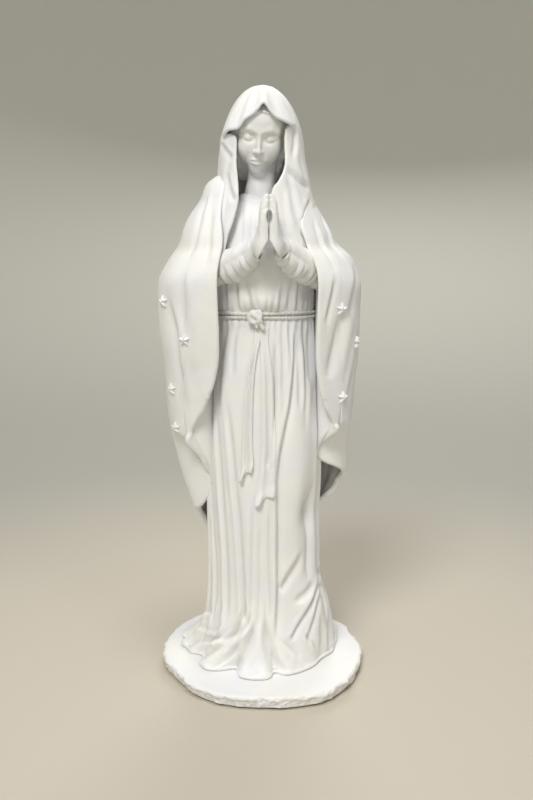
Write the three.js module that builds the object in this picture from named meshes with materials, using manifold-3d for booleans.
// A devotional statue: a veiled woman standing in prayer on a rough round plinth, cast in white
// marble resin as separate pieces that are bonded together.
// Millimetres, +Z up, the origin at the centre of the underside. The figure faces -Y, so its own
// right side is at -X. Piece names use the figure's own left and right.
import * as THREE from "three";
import { ConvexGeometry } from "three/addons/geometries/ConvexGeometry.js";
import { mergeVertices } from "three/addons/utils/BufferGeometryUtils.js";
import Module from "manifold-3d";

const wasm = await Module();
wasm.setup();

// Driving dimensions.
const GAP = 0.3; // bond line between two castings
const FELT = { thickness: 1.6, inset: 7 };
const PLINTH = { top: 15, radius: 107, boss: { radius: 26.5, height: 6 }, hole: 14 };
const WALL = 8; // wall of the hollow gown
const BELT_Z = 381;
const CORD_RADIUS = 1.9;
const NECK = { radius: 14, x: -1, y: -4, socketDepth: 16 };
const STAR = { radius: 5.6, waist: 2.5, height: 2, root: 2.5 };

// ---------------------------------------------------------------- helpers

const rad = THREE.MathUtils.degToRad;

// A smooth curve through [position, value] pairs, held flat past its ends.
function through(points) {
  const n = points.length;
  const slope = points.map((p, i) => {
    if (i === 0 || i === n - 1) return 0;
    const before = (p[1] - points[i - 1][1]) / (p[0] - points[i - 1][0]);
    const after = (points[i + 1][1] - p[1]) / (points[i + 1][0] - p[0]);
    return before * after <= 0 ? 0 : (2 * before * after) / (before + after);
  });
  return (at) => {
    if (at <= points[0][0]) return points[0][1];
    if (at >= points[n - 1][0]) return points[n - 1][1];
    const i = points.findIndex((p) => p[0] > at) - 1;
    const width = points[i + 1][0] - points[i][0];
    const t = (at - points[i][0]) / width;
    const rise = t * t * (3 - 2 * t);
    const bend = t * (1 - t);
    return (
      points[i][1] * (1 - rise) +
      points[i + 1][1] * rise +
      width * bend * (slope[i] * (1 - t) - slope[i + 1] * t)
    );
  };
}

// Distance from the axis to a rounded oval in the direction theta: 0 is the front, 90 degrees +X.
function oval(theta, left, right, front, back, power = 2.2) {
  const side = Math.sin(theta) < 0 ? left : right;
  const depth = Math.cos(theta) > 0 ? front : back;
  const sum =
    Math.abs(Math.sin(theta) / side) ** power + Math.abs(Math.cos(theta) / depth) ** power;
  return sum ** (-1 / power);
}

// Moves every vertex of a closed three.js geometry with place(x, y, z), which returns a Vector3.
function warp(geometry, place) {
  const position = geometry.getAttribute("position");
  for (let i = 0; i < position.count; i++) {
    const p = place(position.getX(i), position.getY(i), position.getZ(i));
    position.setXYZ(i, p.x, p.y, p.z);
  }
  return geometry;
}

// A manifold-3d solid from a closed geometry, turned to face outwards.
function solid(geometry) {
  const bare = new THREE.BufferGeometry().setAttribute(
    "position",
    (geometry.index ? geometry.toNonIndexed() : geometry).getAttribute("position"),
  );
  const merged = mergeVertices(bare, 1e-3);
  const corners = [];
  const index = merged.index.array;
  for (let i = 0; i < index.length; i += 3) {
    const [a, b, c] = [index[i], index[i + 1], index[i + 2]];
    if (a !== b && b !== c && a !== c) corners.push(a, b, c);
  }
  const make = (triangles) =>
    new wasm.Manifold(
      new wasm.Mesh({
        numProp: 3,
        vertProperties: merged.attributes.position.array,
        triVerts: new Uint32Array(triangles),
      }),
    );
  const made = make(corners);
  if (made.volume() > 0) return made;
  for (let i = 0; i < corners.length; i += 3) {
    [corners[i + 1], corners[i + 2]] = [corners[i + 2], corners[i + 1]];
  }
  return make(corners);
}

// The largest of a solid's separate bodies, so that a cut leaves no crumbs.
function main(shape) {
  const bodies = shape.decompose();
  return bodies.reduce((best, b) => (b.volume() > best.volume() ? b : best));
}

const group = new THREE.Group();

function add(name, shape, material) {
  const mesh = main(shape).getMesh();
  const corners = new Float32Array(mesh.numVert * 3);
  for (let i = 0; i < mesh.numVert; i++) {
    const from = i * mesh.numProp;
    corners.set(mesh.vertProperties.subarray(from, from + 3), i * 3);
  }
  const geometry = new THREE.BufferGeometry();
  geometry.setAttribute("position", new THREE.BufferAttribute(corners, 3));
  geometry.setIndex(new THREE.BufferAttribute(mesh.triVerts, 1));
  const piece = new THREE.Mesh(geometry, material);
  piece.name = name;
  group.add(piece);
  return shape;
}

// A closed loft about a vertical axis: radius(theta, z) between two heights, shut by flat ends.
function loft(radius, low, high, around, rows, centre = { x: 0, y: 0 }, spacing = (t) => t) {
  const geometry = new THREE.CylinderGeometry(1, 1, 1, around, rows);
  return solid(
    warp(geometry, (x, y, z) => {
      const height = low + spacing(y + 0.5) * (high - low);
      const theta = Math.atan2(x, z);
      const reach = Math.hypot(x, z) * radius(theta, height);
      return new THREE.Vector3(
        centre.x + reach * Math.sin(theta),
        centre.y - reach * Math.cos(theta),
        height,
      );
    }),
  );
}

// A rounded limb along points, each [x, y, z, radius]: the hulls of neighbouring balls, joined.
function limb(points, grow = 0, links = 2 * (points.length - 1)) {
  const path = new THREE.CatmullRomCurve3(points.map((p) => new THREE.Vector3(...p)));
  const thick = through(points.map((p, i) => [i / (points.length - 1), p[3]]));
  const balls = [];
  for (let i = 0; i <= links; i++) {
    const centre = path.getPoint(i / links);
    const ball = new THREE.IcosahedronGeometry(thick(i / links) + grow, 1);
    const corners = ball.getAttribute("position");
    balls.push(
      Array.from({ length: corners.count }, (_, k) =>
        new THREE.Vector3().fromBufferAttribute(corners, k).add(centre),
      ),
    );
  }
  return balls
    .slice(1)
    .map((ball, i) => solid(new ConvexGeometry([...balls[i], ...ball])))
    .reduce((all, link) => all.add(link));
}

function ellipsoid(centre, radii, around = 16, rows = 12) {
  const ball = new THREE.SphereGeometry(1, around, rows);
  ball.rotateX(Math.PI / 2);
  return solid(ball.scale(...radii).translate(...centre));
}

// ---------------------------------------------------------------- materials

const marbleResin = new THREE.MeshStandardMaterial({ color: 0xf3f1ea, roughness: 0.62 });
const felt = new THREE.MeshStandardMaterial({ color: 0x6d6f68, roughness: 0.95 });
const rubber = new THREE.MeshStandardMaterial({ color: 0x2b2b2b, roughness: 0.8 });

// ---------------------------------------------------------------- plinth and underside

// The plinth's rough outline: a circle with shallow facets.
function plinthOutline(inset) {
  const corners = 16;
  const shape = new THREE.Shape();
  for (let i = 0; i < corners; i++) {
    const angle = (i * 2 * Math.PI) / corners;
    const rough = 2 * Math.sin(3 * angle + 0.6) + 1.6 * Math.sin(5 * angle);
    const r = PLINTH.radius - inset + rough;
    if (i === 0) shape.moveTo(r, 0);
    else shape.lineTo(r * Math.cos(angle), r * Math.sin(angle));
  }
  return shape;
}

function slab(outline, low, high) {
  const geometry = new THREE.ExtrudeGeometry(outline, { depth: high - low, bevelEnabled: false });
  return solid(geometry.translate(0, 0, low));
}

function turned(profile, around = 24) {
  const points = profile.map(([r, z]) => new THREE.Vector2(r, z));
  return solid(new THREE.LatheGeometry(points, around).rotateX(Math.PI / 2));
}

function plinth() {
  const bottom = FELT.thickness + GAP;
  const { boss, hole, top } = PLINTH;
  const block = slab(plinthOutline(0), bottom, top);
  const raised = turned([
    [0, top - 1],
    [boss.radius, top - 1],
    [boss.radius - 1, top + boss.height],
    [0, top + boss.height],
  ]);
  const shaft = turned([
    [0, bottom - 1],
    [hole + 4, bottom - 1],
    [hole + 4, bottom + 3],
    [hole, bottom + 3],
    [hole, top + boss.height + 1],
    [0, top + boss.height + 1],
  ]);
  return block.add(raised).subtract(shaft);
}

function pourPlug() {
  const bottom = FELT.thickness + GAP;
  const r = PLINTH.hole - GAP;
  return turned([
    [0, bottom],
    [r + 4, bottom],
    [r + 4, bottom + 2.6],
    [r, bottom + 2.6],
    [r, bottom + 12],
    [0, bottom + 12],
  ]);
}

// ---------------------------------------------------------------- gown

const gownLeft = through([
  [15, 84], [24, 80], [40, 69], [65, 60], [110, 57], [185, 57], [250, 56], [320, 52],
  [381, 46], [405, 49], [440, 52], [465, 50], [482, 42], [494, 27], [499, 20],
]);
const gownRight = through([
  [15, 80], [24, 79], [40, 76], [65, 71], [85, 65], [110, 61], [185, 60], [250, 60], [320, 56],
  [381, 49], [405, 50], [440, 52], [465, 50], [482, 42], [494, 27], [499, 20],
]);
const gownFront = through([
  [15, 72], [24, 70], [40, 60], [65, 52], [110, 49], [250, 48], [320, 46], [381, 40],
  [405, 44], [440, 45], [470, 40], [488, 30], [499, 20],
]);
const gownBack = through([
  [15, 84], [24, 80], [40, 64], [65, 53], [110, 46], [250, 42], [381, 34], [440, 40],
  [470, 36], [488, 27], [499, 20],
]);
const GOWN_TOP = 499;

// Upright flutes of the skirt, which fade out above the belt.
function flute(theta, z) {
  const fade = THREE.MathUtils.smoothstep(BELT_Z - z, 10, 90);
  return 1.5 * fade * Math.sin(12 * theta + 0.9 * Math.sin(z / 90));
}

const gownRadius = (theta, z) =>
  oval(theta, gownLeft(z), gownRight(z), gownFront(z), gownBack(z)) + flute(theta, z);

function gownOuter(grow = 0) {
  const bottom = PLINTH.top + GAP;
  return loft((t, z) => gownRadius(t, z) + grow, bottom - grow, GOWN_TOP + grow, 40, 17);
}

function gown() {
  const low = PLINTH.top + GAP;
  const inside = (t, z) =>
    Math.min(PLINTH.boss.radius + 1, 0.9 * (gownRadius(t, z) - WALL));
  const core = loft(inside, low - 1, 462, 16, 6);
  const socket = loft(
    () => NECK.radius + GAP, GOWN_TOP - NECK.socketDepth, GOWN_TOP + 5, 20, 1, NECK,
  );
  return gownOuter().subtract(core).subtract(socket);
}

// ---------------------------------------------------------------- arms

const ELBOW = { x: 70, y: -6, z: 405 };
const WRIST = { x: 12, y: -69, z: 442 };
const HANDS_X = 6; // the joined palms stand a little towards the figure's left

// side is -1 for the figure's right arm and 1 for its left arm.
function sleeve(side, grow = 0) {
  return limb(
    [
      [side * 50, 4, 464, 14],
      [side * 64, 2, 436, 14],
      [side * ELBOW.x, ELBOW.y, ELBOW.z, 14],
      [side * 54, -30, 411, 14.5],
      [side * 32 + HANDS_X * 0.5, -54, 425, 14],
      [side * WRIST.x + HANDS_X, WRIST.y, WRIST.z, 9.5],
    ],
    grow,
    7,
  );
}

// One finger as a rounded bar from a to b, both [y, z] beside the palms' meeting plane.
function finger(side, a, b, r, grow) {
  const x = HANDS_X + side * 3.6;
  const from = new THREE.Vector3(x, a[0], a[1]);
  const to = new THREE.Vector3(x - side * 0.8, b[0], b[1]);
  const capsule = new THREE.CapsuleGeometry(r + grow, from.distanceTo(to), 2, 6);
  const turn = new THREE.Quaternion().setFromUnitVectors(
    new THREE.Vector3(0, 1, 0),
    to.clone().sub(from).normalize(),
  );
  const middle = from.clone().lerp(to, 0.5);
  return solid(capsule.applyQuaternion(turn).translate(...middle));
}

// The fingers, from the little finger at the front to the index finger at the back.
const FINGERS = [
  { root: -80, tip: [-82, 481], r: 3.1 },
  { root: -75, tip: [-77, 490], r: 3.4 },
  { root: -69, tip: [-72, 493], r: 3.5 },
  { root: -63, tip: [-67, 489], r: 3.3 },
];

function hand(side, grow = 0) {
  const palm = ellipsoid(
    [HANDS_X + side * 5, -71, 457], [6 + grow, 13 + grow, 15 + grow], 10, 8,
  );
  const wrist = limb(
    [
      [HANDS_X + side * 5.5, -70, 452, 7],
      [HANDS_X + side * 11, -68.5, 443, 6.2],
      [HANDS_X * 0.7 + side * 21, -63, 434, 6],
    ],
    grow,
    2,
  );
  const thumb = finger(side, [-60, 458], [-58, 474], 3, grow);
  return FINGERS.reduce(
    (all, f) => all.add(finger(side, [f.root, 460], f.tip, f.r, grow)),
    palm.add(wrist).add(thumb),
  ).trimByPlane([side, 0, 0], side * HANDS_X + GAP / 2 - grow);
}

// ---------------------------------------------------------------- head

const HEAD = { x: -2, y: -8, z: 554, bow: 17, lean: 5 };

// The skull and face as one egg with a brow, nose and chin, bowed and leaning slightly.
function head(grow = 0) {
  const ball = new THREE.SphereGeometry(1, 18, 16).rotateX(Math.PI / 2);
  const egg = warp(ball, (x, y, z) => {
    const front = Math.max(0, -y);
    const jaw = 1 - 0.3 * THREE.MathUtils.smoothstep(-z, 0.1, 1);
    const nose = 4 * front ** 12 * Math.exp(-(((x / 0.16) ** 2 + ((z + 0.18) / 0.3) ** 2)));
    const chin = 2.5 * front * Math.exp(-(((z + 0.8) / 0.2) ** 2 + (x / 0.3) ** 2));
    return new THREE.Vector3(
      x * (26 + grow) * jaw,
      y * (y < 0 ? 33 + grow : 31 + grow) - nose - chin,
      z * (39 + grow),
    );
  });
  egg.rotateX(rad(HEAD.bow)).rotateY(rad(HEAD.lean)).translate(HEAD.x, HEAD.y, HEAD.z);
  const low = GOWN_TOP - NECK.socketDepth + GAP - grow;
  const neck = loft(() => NECK.radius + grow, low, 545, 20, 3, NECK);
  return solid(egg).add(neck);
}

// ---------------------------------------------------------------- veil

const veilSide = through([
  [432, 40], [455, 47], [480, 50], [500, 47], [530, 43], [558, 39], [575, 32],
]);
const veilFront = through([[432, 47], [470, 46], [500, 42], [530, 42], [558, 43], [575, 39]]);
const veilBack = through([[432, 50], [480, 47], [530, 41], [558, 38], [575, 33]]);
const VEIL = { crown: 575, dome: 25.5, hem: 432, thickness: 3.2, y: -4 };

// The veil's filled outer shape: an oval bell below the crown line and a dome above it.
function veilBell(inset, around, rows) {
  const top = VEIL.crown + VEIL.dome - inset;
  const low = VEIL.hem - (inset > 0 ? 2 : 0);
  const radius = (theta, z) => {
    const up = Math.max(0, (z - VEIL.crown) / (VEIL.dome - inset));
    const shrink = Math.sqrt(Math.max(0.01, 1 - up ** 2.2));
    const level = Math.min(z, VEIL.crown);
    const wide = oval(theta, veilSide(level), veilSide(level), veilFront(level), veilBack(level));
    return (wide - inset) * shrink;
  };
  const closeAtCrown = (t) => 1 - (1 - t) ** 2;
  return loft(radius, low, top, around, rows, { x: 0, y: VEIL.y }, closeAtCrown);
}

// What the veil leaves open at the front: the face, and a gap down to the praying hands.
function faceOpening() {
  const edge = new THREE.Shape();
  edge.moveTo(0, 577);
  edge.splineThru(
    [
      [-13, 568], [-22, 562], [-29, 548], [-28, 515], [-22, 494], [-30, 455], [-40, 425],
    ].map((p) => new THREE.Vector2(...p)),
  );
  edge.lineTo(46, 425);
  edge.splineThru(
    [
      [40, 445], [34, 470], [24, 500], [24, 530], [27, 556], [13, 568], [0, 577],
    ].map((p) => new THREE.Vector2(...p)),
  );
  const prism = new THREE.ExtrudeGeometry(edge, {
    depth: 80,
    bevelEnabled: false,
    curveSegments: 10,
  });
  return solid(prism.rotateX(Math.PI / 2).translate(0, -12, 0));
}

// ---------------------------------------------------------------- mantle

const mantleLeft = through([
  [95, 62], [145, 66], [176, 77], [215, 87], [247, 93], [290, 98], [342, 102], [393, 106],
  [416, 102], [431, 95], [447, 86], [465, 77], [487, 64], [500, 55], [506, 50],
]);
const mantleRight = through([
  [95, 60], [145, 64], [176, 76], [215, 90], [247, 92], [290, 94], [342, 98], [393, 100],
  [416, 97], [431, 91], [447, 82], [465, 70], [487, 60], [500, 53], [506, 48],
]);
const mantleFront = through([[256, 52], [330, 58], [400, 67], [440, 63], [480, 50], [506, 40]]);
const mantleBack = through([[95, 74], [200, 68], [300, 62], [400, 58], [480, 50], [506, 42]]);
const MANTLE = { top: 503, thickness: 5.5 };

// Height of the hem against the angle from the front: high at the front corners, low behind.
const mantleHem = through([
  [36, 335], [44, 312], [54, 272], [64, 250], [76, 214], [88, 178], [104, 142], [130, 110],
  [180, 97],
]);
// Angle of the front edge from straight ahead, against height.
const mantleEdge = through([[256, 42], [330, 40], [400, 38], [440, 36], [503, 34]]);

// Hanging folds, which spread from the shoulders and deepen towards the hem.
function mantleFold(theta, z) {
  const drop = THREE.MathUtils.smoothstep(470 - z, 0, 260);
  return 2.4 * drop * Math.cos(11 * theta + 0.7 * Math.sin(z / 110));
}

function mantleRadius(theta, z) {
  const wide = oval(theta, mantleLeft(z), mantleRight(z), mantleFront(z), mantleBack(z));
  return wide + mantleFold(theta, z) - 2.4 * THREE.MathUtils.smoothstep(470 - z, 0, 260);
}

// grow thickens the sheet outwards.
function mantleSheet(grow = 0) {
  const geometry = new THREE.BoxGeometry(1, 1, 1, 48, 13, 1);
  return solid(
    warp(geometry, (u, v, w) => {
      const top = MANTLE.top;
      let theta = Math.PI + 2 * u * (Math.PI - rad(38));
      const bearing = Math.abs(((THREE.MathUtils.radToDeg(theta) + 180) % 360) - 180);
      const z = top - (0.5 - v) * (top - mantleHem(bearing));
      theta = Math.PI + 2 * u * (Math.PI - rad(mantleEdge(z)));
      const skin = w > 0 ? grow : -MANTLE.thickness;
      const reach = mantleRadius(theta, z) + skin;
      return new THREE.Vector3(reach * Math.sin(theta), -reach * Math.cos(theta), z);
    }),
  );
}

// The layer folded back behind each front edge: it runs from the sheet in to the gown's side, and
// its hem drops as it goes in.
const FOLD_TOP = 364; // clear of the girdle
function foldedLayer(side) {
  const geometry = new THREE.BoxGeometry(1, 1, 1, 3, 5, 1);
  return solid(
    warp(geometry, (u, v, w) => {
      const inwards = u + 0.5;
      const hem = 262 - 48 * inwards;
      const z = hem + (v + 0.5) * (FOLD_TOP - hem);
      const theta = side * rad(64 + 3 * inwards);
      const outer = mantleRadius(theta, z) - 0.5 * MANTLE.thickness;
      const inner = gownRadius(theta, z) + 3;
      const reach = outer + inwards * (inner - outer) + 1.5 * Math.sin(Math.PI * inwards);
      const across = 0.9 * MANTLE.thickness * w;
      return new THREE.Vector3(
        reach * Math.sin(theta) + across * Math.cos(theta),
        -reach * Math.cos(theta) + across * Math.sin(theta),
        z,
      );
    }),
  );
}

// A point on the mantle's outside, and the way out from there.
function onMantle(degrees, z) {
  const at = (t, h) => {
    const reach = mantleRadius(t, h);
    return new THREE.Vector3(reach * Math.sin(t), -reach * Math.cos(t), h);
  };
  const theta = rad(degrees);
  const across = at(theta + 0.03, z).sub(at(theta - 0.03, z));
  const rise = at(theta, z + 4).sub(at(theta, z - 4));
  const out = across.cross(rise).normalize();
  return { point: at(theta, z), out };
}

// ---------------------------------------------------------------- girdle

function girdleCord(z, grow = 0) {
  return solid(
    warp(new THREE.TorusGeometry(4, 1, 6, 30), (x, y, height) => {
      const theta = Math.atan2(x, y);
      const off = (Math.hypot(x, y) - 4) * (CORD_RADIUS + grow);
      const reach = gownRadius(theta, z) + CORD_RADIUS + GAP + 0.5 + off;
      return new THREE.Vector3(
        reach * Math.sin(theta),
        -reach * Math.cos(theta),
        z + height * (CORD_RADIUS + grow),
      );
    }),
  );
}

const KNOT = { x: -6, y: -46.5, z: 380 };

function knot(grow = 0) {
  return ellipsoid([KNOT.x, KNOT.y, KNOT.z], [7.5 + grow, 5 + grow, 7 + grow], 14, 10);
}

// A flat hanging end of the girdle: rows of [z, centre x, width], from the knot to the tip.
function tail(rows, lift) {
  const centre = through(rows.map((r) => [-r[0], r[1]]));
  const width = through(rows.map((r) => [-r[0], r[2]]));
  const [top, tip] = [rows[0][0], rows[rows.length - 1][0]];
  return solid(
    warp(new THREE.BoxGeometry(1, 1, 1, 2, 9, 1), (u, v, w) => {
      const z = tip + (v + 0.5) * (top - tip);
      const x = centre(-z) + u * width(-z);
      const side = x < 0 ? gownLeft(z) : gownRight(z);
      const y = -gownFront(z) * (1 - Math.abs(x / side) ** 2.2) ** (1 / 2.2);
      return new THREE.Vector3(x, y - lift - 1.2 + w * 2.4, z);
    }),
  );
}

// ---------------------------------------------------------------- stars

function star({ point, out }) {
  const outline = new THREE.Shape();
  for (let i = 0; i < 10; i++) {
    const r = i % 2 ? STAR.waist : STAR.radius;
    const angle = Math.PI / 2 + (i * Math.PI) / 5;
    if (i === 0) outline.moveTo(0, r);
    else outline.lineTo(r * Math.cos(angle), r * Math.sin(angle));
  }
  const depth = STAR.height + STAR.root;
  const flat = new THREE.ExtrudeGeometry(outline, { depth, bevelEnabled: false });
  flat.translate(0, 0, -STAR.root);
  const pose = new THREE.Object3D();
  pose.up.set(0, 0, 1);
  pose.position.copy(point);
  pose.lookAt(point.clone().add(out));
  pose.updateMatrix();
  return solid(flat.applyMatrix4(pose.matrix));
}

// Bearing from the front and height of each star on the mantle.
const STARS = [
  [-67, 392], [-50, 358], [-72, 306], [-75, 266], [50, 388], [72, 353], [54, 300],
  [-150, 420], [150, 400], [180, 330], [-146, 262], [146, 240], [180, 180],
];

// ---------------------------------------------------------------- assembly

const filledVeil = veilBell(-GAP, 28, 12);
const bodyGrown = gownOuter(GAP);
const knotGrown = knot(GAP);
const cordHeights = [BELT_Z + CORD_RADIUS + GAP / 2, BELT_Z - CORD_RADIUS - GAP / 2];

add("base_felt", slab(plinthOutline(FELT.inset), 0, FELT.thickness), felt);
add("plinth", plinth(), marbleResin);
add("pour_plug", pourPlug(), rubber);
add("gown", gown(), marbleResin);

const headGrown = head(GAP);
add("head", head(), marbleResin);

const sides = [["right", -1], ["left", 1]];
let armsGrown = null;
for (const [name, side] of sides) {
  add(`${name}_hand`, hand(side), marbleResin);
  add(`${name}_sleeve`, sleeve(side).subtract(bodyGrown).subtract(hand(side, GAP)), marbleResin);
  const both = sleeve(side, GAP).add(hand(side, GAP));
  armsGrown = armsGrown ? armsGrown.add(both) : both;
}

add(
  "veil",
  veilBell(0, 28, 12)
    .subtract(veilBell(VEIL.thickness, 28, 12))
    .subtract(faceOpening())
    .subtract(headGrown)
    .subtract(bodyGrown)
    .subtract(armsGrown),
  marbleResin,
);

cordHeights.forEach((z, i) => {
  const name = i === 0 ? "girdle_cord_upper" : "girdle_cord_lower";
  add(name, girdleCord(z).subtract(bodyGrown).subtract(knotGrown).subtract(armsGrown), marbleResin);
});
add("girdle_knot", knot().subtract(bodyGrown), marbleResin);
const tails = {
  girdle_tail_short: tail([[374, -6, 6], [350, -9, 8], [300, -15, 10], [222, -17, 12]], 2.2),
  girdle_tail_long: tail([[374, 0, 5], [350, 1.5, 9], [300, 2, 13], [198, 3, 17]], 2.2),
};
for (const [name, shape] of Object.entries(tails)) {
  add(name, shape.subtract(bodyGrown).subtract(knotGrown), marbleResin);
}

add(
  "mantle",
  mantleSheet()
    .add(foldedLayer(-1))
    .add(foldedLayer(1))
    .subtract(filledVeil)
    .subtract(bodyGrown)
    .subtract(armsGrown),
  marbleResin,
);

const mantleGrown = mantleSheet(GAP);
STARS.forEach(([degrees, z], i) => {
  add(`star_${i + 1}`, star(onMantle(degrees, z)).subtract(mantleGrown), marbleResin);
});

export default group;
